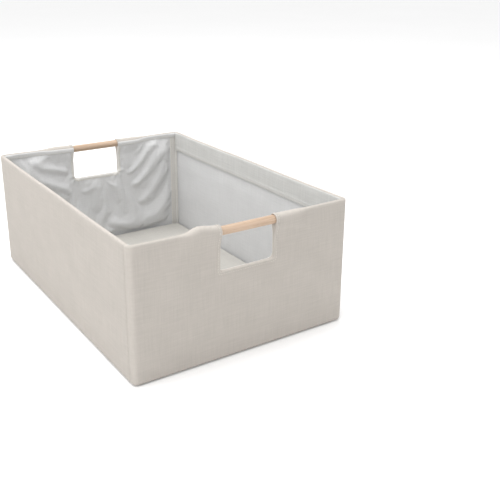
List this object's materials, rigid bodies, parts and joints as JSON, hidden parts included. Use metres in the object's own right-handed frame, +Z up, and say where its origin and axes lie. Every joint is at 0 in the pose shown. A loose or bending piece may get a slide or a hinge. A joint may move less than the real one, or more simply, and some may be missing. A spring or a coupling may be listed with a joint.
{
  "type": "fabric storage bin",
  "caption": "Open rectangular fabric storage bin with stiffened walls, a hand hole under a wooden dowel grip in each short wall, and a loose lift-out base board.",
  "frame": {"origin": "centre of the footprint, on the surface that the bin stands on", "axes": "+Z up; +Y along the long side, from the front handle wall at -Y to the back handle wall; +X to the right seen from the front"},
  "size_m": [0.34, 0.509, 0.19],
  "materials": {
    "canvas": "woven linen-look canvas, warm greige, matt",
    "canvas_trim": "the same canvas as facings, hems and bindings, slightly lighter, matt",
    "lining": "thin soft grey lining, slightly wrinkled, matt",
    "greyboard": "plain greyboard",
    "dowel_wood": "pale beech, fine straight grain, satin",
    "base_cover_fabric": "lining fabric stretched over board, matt",
    "backing_paper": "thin backing paper"
  },
  "bodies": {
    "bin": {"front_shell_panel": "canvas", "back_shell_panel": "canvas", "left_shell_panel": "canvas", "right_shell_panel": "canvas", "bottom_shell_panel": "canvas", "front_wall_board": "greyboard", "back_wall_board": "greyboard", "left_wall_board": "greyboard", "right_wall_board": "greyboard", "front_lining": "lining", "back_lining": "lining", "left_lining": "lining", "right_lining": "lining", "bottom_lining": "lining", "front_rim_hem": "canvas_trim", "back_rim_hem": "canvas_trim", "left_rim_facing": "canvas_trim", "right_rim_facing": "canvas_trim", "front_dowel_sleeves": "canvas", "back_dowel_sleeves": "canvas", "front_hand_hole_binding": "canvas_trim", "back_hand_hole_binding": "canvas_trim", "front_left_corner_binding": "canvas_trim", "front_right_corner_binding": "canvas_trim", "back_left_corner_binding": "canvas_trim", "back_right_corner_binding": "canvas_trim", "corner_seam_allowances": "lining"},
    "front_dowel": {"front_handle_dowel": "dowel_wood"},
    "back_dowel": {"back_handle_dowel": "dowel_wood"},
    "base_board": {"base_board_core": "greyboard", "base_board_cover": "base_cover_fabric", "base_board_backing": "backing_paper"}
  },
  "joints": [
    {"name": "base_board_lift", "type": "slide", "parent": "bin", "child": "base_board", "axis": [0, 0, 1], "range_m": [0, 0.2]},
    {"name": "front_dowel_spin", "type": "hinge", "parent": "bin", "child": "front_dowel", "pos_m": [0, -0.2475, 0.183], "axis": [1, 0, 0], "continuous": true},
    {"name": "back_dowel_spin", "type": "hinge", "parent": "bin", "child": "back_dowel", "pos_m": [0, 0.2475, 0.183], "axis": [1, 0, 0], "continuous": true}
  ]
}
